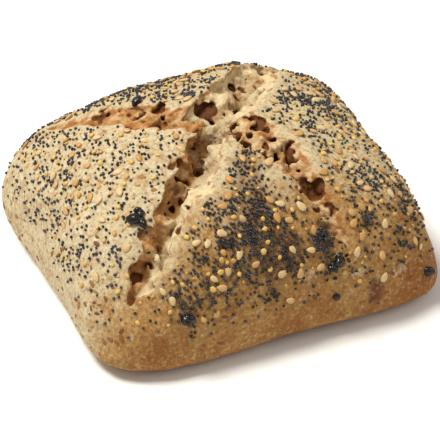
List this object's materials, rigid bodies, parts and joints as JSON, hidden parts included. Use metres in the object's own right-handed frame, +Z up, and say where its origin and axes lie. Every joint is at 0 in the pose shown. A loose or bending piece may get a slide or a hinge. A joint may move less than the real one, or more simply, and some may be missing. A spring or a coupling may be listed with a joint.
{
  "type": "bread roll",
  "caption": "Square seeded wholegrain bread roll with a domed top burst open along a cross, standing on its flat base.",
  "frame": {"origin": "centre of the flat base, under the middle of the roll's outline", "axes": "+Z up out of the top, +X to the right side, -Y towards the front"},
  "size_m": [0.098, 0.09, 0.0441],
  "materials": {
    "crust": "matt",
    "crumb": "matt",
    "sesame": "satin",
    "poppy": "matt",
    "grain": "satin",
    "kernel": "gloss"
  },
  "bodies": {
    "root": {"bread_roll": "crust"}
  },
  "joints": []
}
